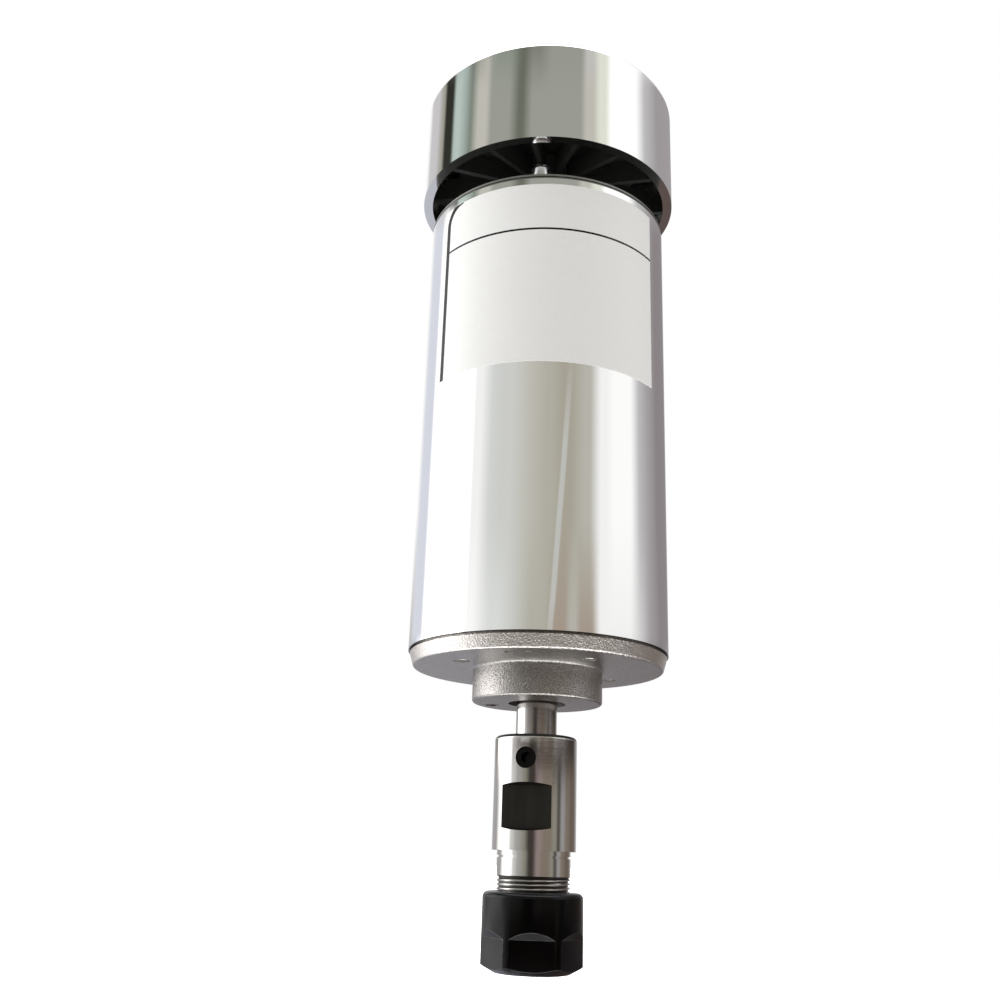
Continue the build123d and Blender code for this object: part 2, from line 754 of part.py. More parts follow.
parts.update({"rear_bearing_" + name: piece for name, piece in rear.items()})

os.makedirs("parts", exist_ok=True)
for name, piece in parts.items():
    export_step(piece, f"parts/{name}.step")
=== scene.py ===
import bpy
import bmesh
from math import cos, hypot, pi, radians, sin
from mathutils import Matrix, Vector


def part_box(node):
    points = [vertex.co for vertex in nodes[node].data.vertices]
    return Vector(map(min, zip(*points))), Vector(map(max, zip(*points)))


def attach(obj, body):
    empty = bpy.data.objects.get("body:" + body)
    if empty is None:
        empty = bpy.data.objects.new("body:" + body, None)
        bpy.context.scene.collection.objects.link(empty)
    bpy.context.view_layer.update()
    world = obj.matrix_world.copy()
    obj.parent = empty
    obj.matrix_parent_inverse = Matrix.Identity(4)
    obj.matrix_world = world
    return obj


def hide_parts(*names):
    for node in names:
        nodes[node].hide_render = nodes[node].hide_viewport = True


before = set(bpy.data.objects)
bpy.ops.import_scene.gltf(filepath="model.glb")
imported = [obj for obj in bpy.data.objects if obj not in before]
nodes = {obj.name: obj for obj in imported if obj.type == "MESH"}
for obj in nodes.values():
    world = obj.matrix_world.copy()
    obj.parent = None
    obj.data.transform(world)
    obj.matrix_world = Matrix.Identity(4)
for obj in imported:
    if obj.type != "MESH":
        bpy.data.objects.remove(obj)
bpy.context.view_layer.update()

# ---- View
# One camera, sharp at every depth. It stands 22 cm before the axis, level with the chuck, and is
# tilted up 18 degrees along the tube.
CAMERA_PLACE = (0.0, -0.216599, -0.038994)
CAMERA_TURN = (108.38789, -1.82861, 1.68657)
CAMERA_LENS, CAMERA_SENSOR = 38.963, 36.0
camera_data = bpy.data.cameras.new("view_camera")
camera_data.sensor_width = CAMERA_SENSOR
camera_data.lens = CAMERA_LENS
camera_data.clip_start = 0.01
camera = bpy.data.objects.new("view_camera", camera_data)
camera.location = CAMERA_PLACE
camera.rotation_euler = [radians(angle) for angle in CAMERA_TURN]
bpy.context.scene.collection.objects.link(camera)
bpy.context.scene.camera = camera
bpy.context.scene.view_settings.view_transform = "Standard"


# ---- Floor
# A seamless pale sheet well below the spindle, which hangs clear of it. It keeps out of the metal's
# reflections, so the undersides stay as dark as they are over a bench.
def linear(code):
    """sRGB hex to linear red, green, blue and full alpha."""
    parts = [int(code[k:k + 2], 16) / 255 for k in (1, 3, 5)]
    return [c / 12.92 if c <= 0.04045 else ((c + 0.055) / 1.055) ** 2.4 for c in parts] + [1.0]


def add_node(tree, kind, inputs=None, **settings):
    """One node with its settings. An input takes a value, an output, or a node's first output."""
    node = tree.nodes.new(kind)
    for name, value in settings.items():
        setattr(node, name, value)
    for name, value in (inputs or {}).items():
        if isinstance(value, bpy.types.Node):
            value = value.outputs[0]
        if isinstance(value, bpy.types.NodeSocket):
            tree.links.new(value, node.inputs[name])
        else:
            node.inputs[name].default_value = value
    return node


def new_material(name, colour, metallic, roughness):
    """Material with a Principled shader of one colour, returned with its tree and its shader."""
    material = bpy.data.materials.new(name)
    material.use_nodes = True
    shader = material.node_tree.nodes["Principled BSDF"]
    shader.inputs["Base Color"].default_value = linear(colour)
    shader.inputs["Metallic"].default_value = metallic
    shader.inputs["Roughness"].default_value = roughness
    return material, material.node_tree, shader


FLOOR_DROP, FLOOR_REACH = 0.34, 60.0
FLOOR_CORNERS = ((-1, -1), (1, -1), (1, 1), (-1, 1))
floor_mesh = bpy.data.meshes.new("studio_floor")
floor_mesh.from_pydata(
    [(x * FLOOR_REACH, y * FLOOR_REACH, -FLOOR_DROP) for x, y in FLOOR_CORNERS], [], [(0, 1, 2, 3)],
)
floor = bpy.data.objects.new("studio_floor", floor_mesh)
bpy.context.scene.collection.objects.link(floor)
# matt white paper, lit from within to an even white: the eye finds no edge or fold in it
floor_paper, tree, shader = new_material("white_floor_paper", "#f4f4f4", 0.0, 0.9)
shader.inputs["Emission Color"].default_value = linear("#ffffff")
shader.inputs["Emission Strength"].default_value = 1.0
floor_mesh.materials.append(floor_paper)
floor.visible_glossy = False
floor.visible_diffuse = False

# ---- Studio light
# Polished metal shows little but its surroundings, so rings of soft boxes, paper cards and dim gaps
# stand round the spindle, one above another. Directions are in degrees, with 0 at the camera and
# growing to its right, and a gap between two cards fades from one to the other.
PAPERS = {
    "white": "#ffffff", "pearl": "#e6e8e6", "silver": "#cdcecb", "linen": "#bfbdb4",
    "stone": "#b1afa4", "taupe": "#a8a396", "lavender": "#d6d8e2", "haze": "#c6c4c6",
    "mauve": "#aca7aa", "dusk": "#8a8486", "sage": "#a9b6b0", "fern": "#80897f",
    "lichen": "#9b9d95", "moss": "#6b6e63", "cream": "#dfe1d5", "coal": "#32332d",
    "sand": "#a4978a", "rose": "#b5a4a3", "clay": "#84736f", "bark": "#57514b", "loam": "#7e7269",
}
# each ring: (from, to, paper, times as bright)
FLOOR_RING = [
    (-180, -136, "dusk", 0.9), (-116, -56, "white", 2.8), (-34, 34, "white", 2.0),
    (54, 104, "white", 3.2), (130, 180, "dusk", 0.9),
]
SKIRT_RING = [
    (-180, -179, "haze", 0.7), (-176, -140, "lavender", 0.8), (-116, -60, "white", 1.9),
    (-38, 38, "pearl", 1.1), (60, 104, "white", 2.2), (140, 176, "clay", 0.5),
    (179, 180, "haze", 0.7),
]
LOW_RING = [
    (-180, -179, "haze", 0.7), (-176, -130, "lavender", 0.8), (-112, -76, "white", 1.6),
    (-50, 70, "loam", 0.7), (110, 176, "clay", 0.5), (179, 180, "haze", 0.7),
]
NUT_RING = [
    (-180, -140, "mauve", 0.9), (-118, -76, "white", 1.8), (-56, -40, "loam", 0.9),
    (-20, 70, "bark", 0.9), (100, 150, "dusk", 0.8), (172, 180, "mauve", 0.9),
]
ARBOR_RING = [
    (-180, -127, "haze", 1.0), (-100, -81, "white", 3.0), (-67, -62, "white", 1.0),
    (-50, -44, "silver", 1.0), (-31, -28, "stone", 1.0), (-15, -3, "bark", 0.8),
    (9, 16, "rose", 1.0), (26, 46, "sand", 1.0), (55, 60, "stone", 1.0), (70, 70, "bark", 0.8),
    (80, 87, "haze", 0.9), (97, 106, "sand", 0.9), (118, 140, "loam", 1.1), (156, 180, "haze", 1.0),
]
SHAFT_RING = [
    (-180, -156, "haze", 0.8), (-146, -138, "stone", 0.7), (-124, -78, "white", 3.8),
    (-68, -64, "haze", 1.2), (-50, -45, "dusk", 1.0), (-34, -26, "clay", 0.7),
    (-12, 3, "bark", 0.3), (16, 88, "clay", 0.4), (104, 130, "bark", 0.6), (156, 180, "haze", 0.9),
]
FOOT_RING = [
    (-180, -152, "haze", 1.1), (-146, -126, "lavender", 1.1), (-112, -76, "white", 3.0),
    (-65, -60, "white", 1.1), (-43, -35, "pearl", 1.0), (-24, -24, "silver", 1.1),
    (-8, 4, "stone", 1.1), (12, 22, "sand", 1.1), (27, 31, "linen", 1.0), (36, 47, "sand", 1.1),
    (54, 86, "white", 1.0), (113, 113, "mauve", 1.0), (134, 158, "dusk", 1.1),
    (174, 174, "haze", 1.0),
]
TUBE_RING = [
    (-180, -160, "white", 1.0), (-146, -126, "lavender", 1.1), (-111, -74, "white", 3.0),
    (-65, -58, "white", 1.0), (-47, -47, "pearl", 0.9), (-36, -28, "silver", 1.1),
    (-12, -12, "linen", 1.1), (4, 8, "stone", 1.1), (18, 26, "taupe", 1.1), (38, 44, "linen", 1.0),
    (54, 60, "white", 1.0), (68, 88, "white", 1.1), (99, 99, "haze", 1.0), (113, 113, "mauve", 1.0),
    (130, 158, "dusk", 1.1), (174, 174, "haze", 1.0),
]
CAP_RING = [
    (-180, -154, "white", 1.0), (-144, -128, "haze", 1.1), (-119, -117, "stone", 0.9),
    (-113, -102, "coal", 1.0), (-98, -92, "sage", 1.3), (-85, -85, "sage", 1.0),
    (-77, -77, "fern", 1.0), (-69, -60, "linen", 1.1), (-55, -37, "lichen", 1.1),
    (-28, -24, "moss", 1.1), (-16, 29, "lichen", 1.1), (34, 41, "linen", 1.1),
    (47, 53, "cream", 1.1), (59, 86, "white", 1.2), (99, 99, "haze", 1.0), (120, 152, "mauve", 0.9),
]
UPPER_RING = [
    (-180, -128, "white", 1.0), (-118, -102, "dusk", 1.0), (-90, -84, "sage", 1.2),
    (-78, -70, "moss", 1.1), (-60, -60, "linen", 0.9), (-51, -34, "fern", 1.1),
    (-25, -9, "moss", 1.0), (1, 30, "lichen", 1.0), (35, 41, "haze", 1.1), (47, 54, "cream", 1.1),
    (60, 156, "white", 1.2), (172, 180, "coal", 1.0),
]
BOX_EDGE = [
    (-180, -128, "white", 1.0), (-112, -70, "white", 1.6), (-56, 44, "silver", 1.0),
    (60, 100, "white", 1.3), (130, 156, "haze", 1.0), (172, 180, "coal", 1.0),
]
TOP_BOX = [
    (-180, -140, "dusk", 1.0), (-98, 90, "white", 4.5), (130, 156, "haze", 1.0),
    (174, 180, "dusk", 1.0),
]
# how many times brighter than white paper a ramp's 1 stands for
STUDIO_PEAK = 6.0
# each ring's height above the horizon in degrees, and the light between two rings fades likewise
STUDIO = [
    (-60.0, FLOOR_RING), (-37.0, SKIRT_RING), (-22.0, LOW_RING), (-9.0, NUT_RING),
    (-1.0, ARBOR_RING), (5.2, ARBOR_RING), (6.8, SHAFT_RING), (8.8, SHAFT_RING), (11.2, FOOT_RING),
    (17.5, TUBE_RING), (32.0, TUBE_RING), (33.6, CAP_RING), (39.2, CAP_RING), (42.5, UPPER_RING),
    (50.0, BOX_EDGE), (63.0, TOP_BOX), (80.0, TOP_BOX),
]
# a pale lamp pole leans beside the camera, from its foot to its head
POLE_FOOT_TURN, POLE_FOOT_HEIGHT = 9.0, 11.0
POLE_HEAD_TURN, POLE_HEAD_HEIGHT = 22.5, 23.5
POLE_HALF, POLE_EDGE = 1.9, 0.8
POLE_FADE_FROM, POLE_FADE_TO, POLE_COVER = -2.0, 3.0, 0.8
world = bpy.data.worlds.new("soft_studio")
bpy.context.scene.world = world
world.use_nodes = True
tree = world.node_tree
tree.nodes.clear()
direction = add_node(tree, "ShaderNodeTexCoord").outputs["Generated"]
axes = add_node(tree, "ShaderNodeSeparateXYZ", {0: direction})
toward = add_node(tree, "ShaderNodeMath", {0: axes.outputs["Y"], 1: -1.0}, operation="MULTIPLY")
turn = add_node(tree, "ShaderNodeMath", {0: axes.outputs["X"], 1: toward}, operation="ARCTAN2")
azimuth = add_node(tree, "ShaderNodeMapRange", {"Value": turn, "From Min": -pi, "From Max": pi})
height = add_node(tree, "ShaderNodeMath", {0: axes.outputs["Z"]}, operation="ARCSINE")
light, lowest = None, None
for level, cards in STUDIO:
    ramp = add_node(tree, "ShaderNodeValToRGB", {"Fac": azimuth})
    stops = [
        (angle / 360 + 0.5, [c * bright / STUDIO_PEAK for c in linear(PAPERS[paper])[:3]] + [1.0])
        for start, end, paper, bright in cards for angle in sorted({start, end})
    ]
    ramp.color_ramp.elements.remove(ramp.color_ramp.elements[-1])
    ramp.color_ramp.elements[0].position = stops[0][0]
    ramp.color_ramp.elements[0].color = stops[0][1]
    for position, colour in stops[1:]:
        ramp.color_ramp.elements.new(position).color = colour
    if light is None:
        light, lowest = ramp.outputs["Color"], level
        continue
    rise = add_node(
        tree, "ShaderNodeMapRange",
        {"Value": height, "From Min": radians(lowest), "From Max": radians(level)},
    )
    blend = add_node(
        tree, "ShaderNodeMix", {"Factor": rise, 6: light, 7: ramp.outputs["Color"]},
        data_type="RGBA",
    )
    light, lowest = blend.outputs[2], level
lean = (POLE_HEAD_TURN - POLE_FOOT_TURN) / (POLE_HEAD_HEIGHT - POLE_FOOT_HEIGHT)
leaning = add_node(
    tree, "ShaderNodeMath",
    {0: height, 1: lean, 2: radians(POLE_FOOT_TURN - lean * POLE_FOOT_HEIGHT)},
    operation="MULTIPLY_ADD",
)
beside = add_node(tree, "ShaderNodeMath", {0: turn, 1: leaning}, operation="SUBTRACT")
beside = add_node(tree, "ShaderNodeMath", {0: beside}, operation="ABSOLUTE")
across_pole = add_node(
    tree, "ShaderNodeMapRange",
    {"Value": beside, "From Min": radians(POLE_HALF), "From Max": radians(POLE_HALF + POLE_EDGE),
     "To Min": 1.0, "To Max": 0.0},
)
middle = (POLE_FOOT_HEIGHT + POLE_HEAD_HEIGHT) / 2
half = POLE_HEAD_HEIGHT - middle
along_pole = add_node(tree, "ShaderNodeMath", {0: height, 1: radians(middle)}, operation="SUBTRACT")
along_pole = add_node(tree, "ShaderNodeMath", {0: along_pole}, operation="ABSOLUTE")
along_pole = add_node(
    tree, "ShaderNodeMapRange",
    {"Value": along_pole, "From Min": radians(half + POLE_FADE_FROM),
     "From Max": radians(half + POLE_FADE_TO), "To Min": POLE_COVER, "To Max": 0.0},
)
on_pole = add_node(
    tree, "ShaderNodeMath", {0: across_pole, 1: along_pole}, operation="MULTIPLY",
)
pole_colour = [c / STUDIO_PEAK for c in linear(PAPERS["silver"])[:3]] + [1.0]
blend = add_node(
    tree, "ShaderNodeMix", {"Factor": on_pole, 6: light, 7: pole_colour}, data_type="RGBA",
)
light = blend.outputs[2]
surroundings = add_node(tree, "ShaderNodeBackground", {"Color": light, "Strength": STUDIO_PEAK})
backdrop = add_node(tree, "ShaderNodeBackground", {"Color": linear("#ffffff"), "Strength": 1.0})
path = add_node(tree, "ShaderNodeLightPath")
seen = add_node(
    tree, "ShaderNodeMixShader",
    {0: path.outputs["Is Camera Ray"], 1: surroundings, 2: backdrop},
)
add_node(tree, "ShaderNodeOutputWorld", {"Surface": seen})

# ---- Motor housing and fan cover
# Drawn steel tube, 52 mm across, and a spun steel cup over its end, both nickel and chrome plated
# and buffed. The cup is screwed to the fan guide inside it.

# Chrome plate: clear, nearly colourless reflections that waver a little, under a breath of haze.
# The waves are 17 mm long. Buffing lines of some hundredths are drawn 0.14 mm apart, so that they
# show.
chrome, tree, shader = new_material("polished_chrome_plate", "#f1f1f0", 1.0, 0.045)
place = add_node(tree, "ShaderNodeTexCoord").outputs["Object"]
waves = add_node(tree, "ShaderNodeTexNoise", {"Vector": place, "Scale": 60.0, "Detail": 1.0})
buffing = add_node(tree, "ShaderNodeMapping", {"Vector": place, "Scale": (1.0, 1.0, 60.0)})
hairlines = add_node(
    tree, "ShaderNodeTexNoise", {"Vector": buffing, "Scale": 120.0, "Detail": 4.0},
)
haze = add_node(
    tree, "ShaderNodeMapRange", {"Value": hairlines.outputs["Fac"], "To Min": 0.03, "To Max": 0.07},
)
tree.links.new(haze.outputs[0], shader.inputs["Roughness"])
bump = add_node(
    tree, "ShaderNodeBump", {"Height": waves.outputs["Fac"], "Strength": 0.3, "Distance": 0.00006},
)
tree.links.new(bump.outputs[0], shader.inputs["Normal"])
nodes["fan_cover"].data.materials[0] = chrome
# The same plate on the tube, whose last half millimetre is turned off square afterwards: there the
# eye meets a band of dull bare steel.
TURNED_FROM, BARE_ROUGHNESS = 0.09445, 0.36
tube_chrome = chrome.copy()
tube_chrome.name = "polished_chrome_plate_with_turned_edge"
tree = tube_chrome.node_tree
shader = tree.nodes["Principled BSDF"]
roughness = shader.inputs["Roughness"].links[0].from_socket
place = add_node(tree, "ShaderNodeTexCoord").outputs["Object"]
axes = add_node(tree, "ShaderNodeSeparateXYZ", {0: place})
turned = add_node(
    tree, "ShaderNodeMath", {0: axes.outputs["Z"], 1: TURNED_FROM}, operation="GREATER_THAN",
)
colour = add_node(
    tree, "ShaderNodeMix", {"Factor": turned, 6: linear("#f1f1f0"), 7: linear("#767672")},
    data_type="RGBA",
)
# The tube's front edge is broken where it meets the flange. The fine dark line there is partly
# painted shade of the gap and partly dirt held in the groove. It is drawn 0.2 mm high, about twice
# the real one, so that it shows as a fine dark line.
SEAM_TOP = 0.0002
in_seam = add_node(
    tree, "ShaderNodeMath", {0: axes.outputs["Z"], 1: SEAM_TOP}, operation="LESS_THAN",
)
colour = add_node(
    tree, "ShaderNodeMix", {"Factor": in_seam, 6: colour.outputs[2], 7: linear("#3a3936")},
    data_type="RGBA",
)
tree.links.new(colour.outputs[2], shader.inputs["Base Color"])
dull = add_node(tree, "ShaderNodeMix", {"Factor": turned, 2: roughness, 3: BARE_ROUGHNESS})
tree.links.new(dull.outputs[0], shader.inputs["Roughness"])
nodes["motor_housing"].data.materials[0] = tube_chrome

# ---- Rating plate
# White polyester film, 0.08 mm thick, stuck round the tube. Its print is left blank, apart from the
# black border line on its left side, with a rounded corner above, and a rule below the heading.
film_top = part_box("rating_plate")[1].z
FILM_RADIUS = 0.02608
BORDER_ANGLE, BORDER_WIDTH, BORDER_CORNER = radians(-53.0), 0.0012, 0.0046
BORDER_RISE = 0.0003
RULE_HEIGHT, RULE_WIDTH = 0.0825, 0.00045
# Satin film: an even white with the least sheen, and flat black ink. Its grain of a tenth of a
# millimetre is drawn 1.1 mm wide, so that it shows as a faint unevenness.
film, tree, shader = new_material("satin_white_film", "#f8f8f7", 0.0, 0.3)
shader.inputs["Specular IOR Level"].default_value = 0.15
place = add_node(tree, "ShaderNodeTexCoord").outputs["Object"]
axes = add_node(tree, "ShaderNodeSeparateXYZ", {0: place})
toward = add_node(tree, "ShaderNodeMath", {0: axes.outputs["Y"], 1: -1.0}, operation="MULTIPLY")
turn = add_node(tree, "ShaderNodeMath", {0: axes.outputs["X"], 1: toward}, operation="ARCTAN2")
across = add_node(tree, "ShaderNodeMath", {0: turn, 1: -BORDER_ANGLE}, operation="ADD")
across = add_node(tree, "ShaderNodeMath", {0: across, 1: FILM_RADIUS}, operation="MULTIPLY")
down = add_node(
    tree, "ShaderNodeMath", {0: film_top + BORDER_RISE, 1: axes.outputs["Z"]},
    operation="SUBTRACT",
)
# how far a spot lies from the border's rounded outline
left = add_node(tree, "ShaderNodeMath", {0: BORDER_CORNER, 1: across}, operation="SUBTRACT")
upper = add_node(tree, "ShaderNodeMath", {0: BORDER_CORNER, 1: down}, operation="SUBTRACT")
left_in = add_node(tree, "ShaderNodeMath", {0: left, 1: 0.0}, operation="MAXIMUM")
upper_in = add_node(tree, "ShaderNodeMath", {0: upper, 1: 0.0}, operation="MAXIMUM")
left_square = add_node(tree, "ShaderNodeMath", {0: left_in, 1: 2.0}, operation="POWER")
upper_square = add_node(tree, "ShaderNodeMath", {0: upper_in, 1: 2.0}, operation="POWER")
square = add_node(tree, "ShaderNodeMath", {0: left_square, 1: upper_square}, operation="ADD")
reach = add_node(tree, "ShaderNodeMath", {0: square}, operation="SQRT")
edge = add_node(tree, "ShaderNodeMath", {0: reach, 1: BORDER_CORNER}, operation="SUBTRACT")
edge = add_node(tree, "ShaderNodeMath", {0: edge}, operation="ABSOLUTE")
border = add_node(tree, "ShaderNodeMath", {0: edge, 1: BORDER_WIDTH / 2}, operation="LESS_THAN")
corner = add_node(tree, "ShaderNodeMath", {0: across, 1: BORDER_CORNER}, operation="LESS_THAN")
border = add_node(tree, "ShaderNodeMath", {0: border, 1: corner}, operation="MULTIPLY")
rule = add_node(
    tree, "ShaderNodeMath", {0: axes.outputs["Z"], 1: RULE_HEIGHT}, operation="SUBTRACT",
)
rule = add_node(tree, "ShaderNodeMath", {0: rule}, operation="ABSOLUTE")
rule = add_node(tree, "ShaderNodeMath", {0: rule, 1: RULE_WIDTH / 2}, operation="LESS_THAN")
inside = add_node(tree, "ShaderNodeMath", {0: across, 1: 0.0}, operation="GREATER_THAN")
rule = add_node(tree, "ShaderNodeMath", {0: rule, 1: inside}, operation="MULTIPLY")
ink = add_node(tree, "ShaderNodeMath", {0: rule, 1: border}, operation="MAXIMUM")
paper_grain = add_node(tree, "ShaderNodeTexNoise", {"Vector": place, "Scale": 900.0, "Detail": 3.0})
paper = add_node(
    tree, "ShaderNodeMix",
    {"Factor": paper_grain.outputs["Fac"], 6: linear("#fafafa"), 7: linear("#f4f4f2")},
    data_type="RGBA",
)
print_colour = add_node(
    tree, "ShaderNodeMix", {"Factor": ink, 6: paper.outputs[2], 7: linear("#101010")},
    data_type="RGBA",
)
tree.links.new(print_colour.outputs[2], shader.inputs["Base Color"])
bump = add_node(
    tree, "ShaderNodeBump",
    {"Height": paper_grain.outputs["Fac"], "Strength": 0.15, "Distance": 0.00003},
)
tree.links.new(bump.outputs[0], shader.inputs["Normal"])
nodes["rating_plate"].data.materials[0] = film

# ---- Front end bell
# Sand-cast aluminium flange with the front bearing's boss, pressed into the tube's end. It is left
# as cast, but for a file over the flange's rim.
FLANGE_FACE = -0.00295
RIM_ABOVE, BOSS_BELOW = FLANGE_FACE + 0.00005, FLANGE_FACE - 0.0001
# Cast aluminium: an even pebbly skin with grains of 0.25 to 0.3 mm, brighter on its peaks and dark
# in its pits. The filed rim is paler, and the boss below the flange is darker.
cast, tree, shader = new_material("sand_cast_aluminium", "#b9b8b6", 1.0, 0.31)
place = add_node(tree, "ShaderNodeTexCoord").outputs["Object"]
grit = add_node(
    tree, "ShaderNodeTexNoise",
    {"Vector": place, "Scale": 4200.0, "Detail": 2.0, "Roughness": 0.6},
)
pits = add_node(
    tree, "ShaderNodeTexVoronoi", {"Vector": place, "Scale": 3400.0}, feature="SMOOTH_F1",
)
skin = add_node(
    tree, "ShaderNodeMath", {0: grit.outputs["Fac"], 1: pits.outputs["Distance"]}, operation="ADD",
)
bump = add_node(
    tree, "ShaderNodeBump", {"Height": skin, "Strength": 0.65, "Distance": 0.00009},
)
tree.links.new(bump.outputs[0], shader.inputs["Normal"])
tone = add_node(
    tree, "ShaderNodeMapRange", {"Value": grit.outputs["Fac"], "From Min": 0.32, "From Max": 0.62},
)
sand = add_node(
    tree, "ShaderNodeMix", {"Factor": tone, 6: linear("#a5a3a1"), 7: linear("#d2d1cf")},
    data_type="RGBA",
)
brushed = add_node(
    tree, "ShaderNodeMix", {"Factor": tone, 6: linear("#c5c0bb"), 7: linear("#f0ece8")},
    data_type="RGBA",
)
boss = add_node(
    tree, "ShaderNodeMix", {"Factor": tone, 6: linear("#8a8683"), 7: linear("#bebab7")},
    data_type="RGBA",
)
axes = add_node(tree, "ShaderNodeSeparateXYZ", {0: place})
on_rim = add_node(
    tree, "ShaderNodeMath", {0: axes.outputs["Z"], 1: RIM_ABOVE}, operation="GREATER_THAN",
)
on_boss = add_node(
    tree, "ShaderNodeMath", {0: axes.outputs["Z"], 1: BOSS_BELOW}, operation="LESS_THAN",
)
sand = add_node(
    tree, "ShaderNodeMix", {"Factor": on_rim, 6: sand.outputs[2], 7: brushed.outputs[2]},
    data_type="RGBA",
)
sand = add_node(
    tree, "ShaderNodeMix", {"Factor": on_boss, 6: sand.outputs[2], 7: boss.outputs[2]},
    data_type="RGBA",
)
tree.links.new(sand.outputs[2], shader.inputs["Base Color"])
nodes["front_end_bell"].data.materials[0] = cast


# ---- Rear rim ring
# A pressed aluminium ring, 0.55 mm thick, round the rear bell's edge. The through bolts clamp it
# on the end of the tube.
def turned_piece(name, outline, steps=256):
    """Closed ring turned about Z from (radius, height) corners given anticlockwise."""
    points = [
        (radius * cos(2 * pi * k / steps), radius * sin(2 * pi * k / steps), level)
        for k in range(steps) for radius, level in outline
    ]
    count = len(outline)
    faces = []
    for k in range(steps):
        this, after = k * count, (k + 1) % steps * count
        for i in range(count):
            j = (i + 1) % count
            faces.append((this + i, after + i, after + j, this + j))
    mesh = bpy.data.meshes.new(name)
    mesh.from_pydata(points, [], faces)
    mesh.shade_smooth()
    mesh.set_sharp_from_angle(angle=radians(30))
    piece = bpy.data.objects.new(name, mesh)
    bpy.context.scene.collection.objects.link(piece)
    return piece


TUBE_END = 0.095
RIM_INNER, RIM_OUTER = 0.02542, 0.02594
RIM_THICK, RIM_BREAK = 0.00055, 0.00012
rim_ring = turned_piece("rear_rim_ring", [
    (RIM_INNER, TUBE_END), (RIM_OUTER, TUBE_END), (RIM_OUTER, TUBE_END + RIM_THICK - RIM_BREAK),
    (RIM_OUTER - RIM_BREAK, TUBE_END + RIM_THICK), (RIM_INNER, TUBE_END + RIM_THICK),
])
# Pressed aluminium: a dull grey line beside the bright plating, clouded in patches of about 1 mm.
dull_aluminium, tree, shader = new_material("pressed_dull_aluminium", "#7d7d7a", 1.0, 0.4)
place = add_node(tree, "ShaderNodeTexCoord").outputs["Object"]
bloom = add_node(tree, "ShaderNodeTexNoise", {"Vector": place, "Scale": 1100.0, "Detail": 3.0})
tone = add_node(
    tree, "ShaderNodeMix",
    {"Factor": bloom.outputs["Fac"], 6: linear("#6d6d69"), 7: linear("#8c8c88")},
    data_type="RGBA",
)
tree.links.new(tone.outputs[2], shader.inputs["Base Color"])
rim_ring.data.materials.append(dull_aluminium)
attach(rim_ring, "stator")

# ---- Rear end bell, fan guide and fan
# Three mouldings in black glass-filled nylon. The bell closes the tube's rear, the guide stands on
# it and carries the cover on twelve ribs, and the fan is held on the shaft's end by its nut.

# Moulded nylon: nearly black with a satin sheen on edges and ribs. The mould's spark grain of 0.1
# mm is drawn 0.4 mm wide, so that it shows.
nylon, tree, shader = new_material("black_glass_filled_nylon", "#0d0d0c", 0.0, 0.42)
place = add_node(tree, "ShaderNodeTexCoord").outputs["Object"]
grain = add_node(tree, "ShaderNodeTexNoise", {"Vector": place, "Scale": 2600.0, "Detail": 2.0})
tone = add_node(
    tree, "ShaderNodeMix",
    {"Factor": grain.outputs["Fac"], 6: linear("#383a37"), 7: linear("#50534e")},
    data_type="RGBA",
)
tree.links.new(tone.outputs[2], shader.inputs["Base Color"])
bump = add_node(
    tree, "ShaderNodeBump", {"Height": grain.outputs["Fac"], "Strength": 0.35, "Distance": 0.00004},
)
tree.links.new(bump.outputs[0], shader.inputs["Normal"])
for name in ("rear_end_bell", "fan_guide", "fan"):
    nodes[name].data.materials[0] = nylon

# ---- Screws and bolts
# Cold-headed steel screws, and the nut on the shaft's end. Those of the guide and of the arbor are
# blacked in hot oxide, and the others are zinc plated.

# Zinc plate: a bright bluish silver, clouded in patches of 1.4 mm.
zinc, tree, shader = new_material("bright_zinc_plate", "#cfd0d2", 1.0, 0.2)
place = add_node(tree, "ShaderNodeTexCoord").outputs["Object"]
bloom = add_node(tree, "ShaderNodeTexNoise", {"Vector": place, "Scale": 700.0, "Detail": 3.0})
dull = add_node(
    tree, "ShaderNodeMapRange", {"Value": bloom.outputs["Fac"], "To Min": 0.12, "To Max": 0.26},
)
tree.links.new(dull.outputs[0], shader.inputs["Roughness"])
for name in ("through_bolts", "board_screws", "cover_screws", "fan_nut"):
    nodes[name].data.materials[0] = zinc
# Black oxide: a deep, slightly mottled black with a thin oily gloss. The mottling is 4 mm wide, and
# the blasted grain of a tenth of a millimetre is drawn 0.55 mm wide, so that it shows.
black_oxide, tree, shader = new_material("black_oxide_steel", "#232326", 1.0, 0.2)
place = add_node(tree, "ShaderNodeTexCoord").outputs["Object"]
mottle = add_node(tree, "ShaderNodeTexNoise", {"Vector": place, "Scale": 260.0, "Detail": 5.0})
tone = add_node(
    tree, "ShaderNodeMix",
    {"Factor": mottle.outputs["Fac"], 6: linear("#1e1e1f"), 7: linear("#29292a")},
    data_type="RGBA",
)
tree.links.new(tone.outputs[2], shader.inputs["Base Color"])
grain = add_node(tree, "ShaderNodeTexNoise", {"Vector": place, "Scale": 1800.0, "Detail": 3.0})
bump = add_node(
    tree, "ShaderNodeBump", {"Height": grain.outputs["Fac"], "Strength": 0.12, "Distance": 0.00002},
)
tree.links.new(bump.outputs[0], shader.inputs["Normal"])
for name in ("guide_screws", "set_screws", "clamping_nut"):
    nodes[name].data.materials[0] = black_oxide

# ---- Magnets
# Two arcs of sintered hard ferrite, ground on both curved faces and glued inside the tube.

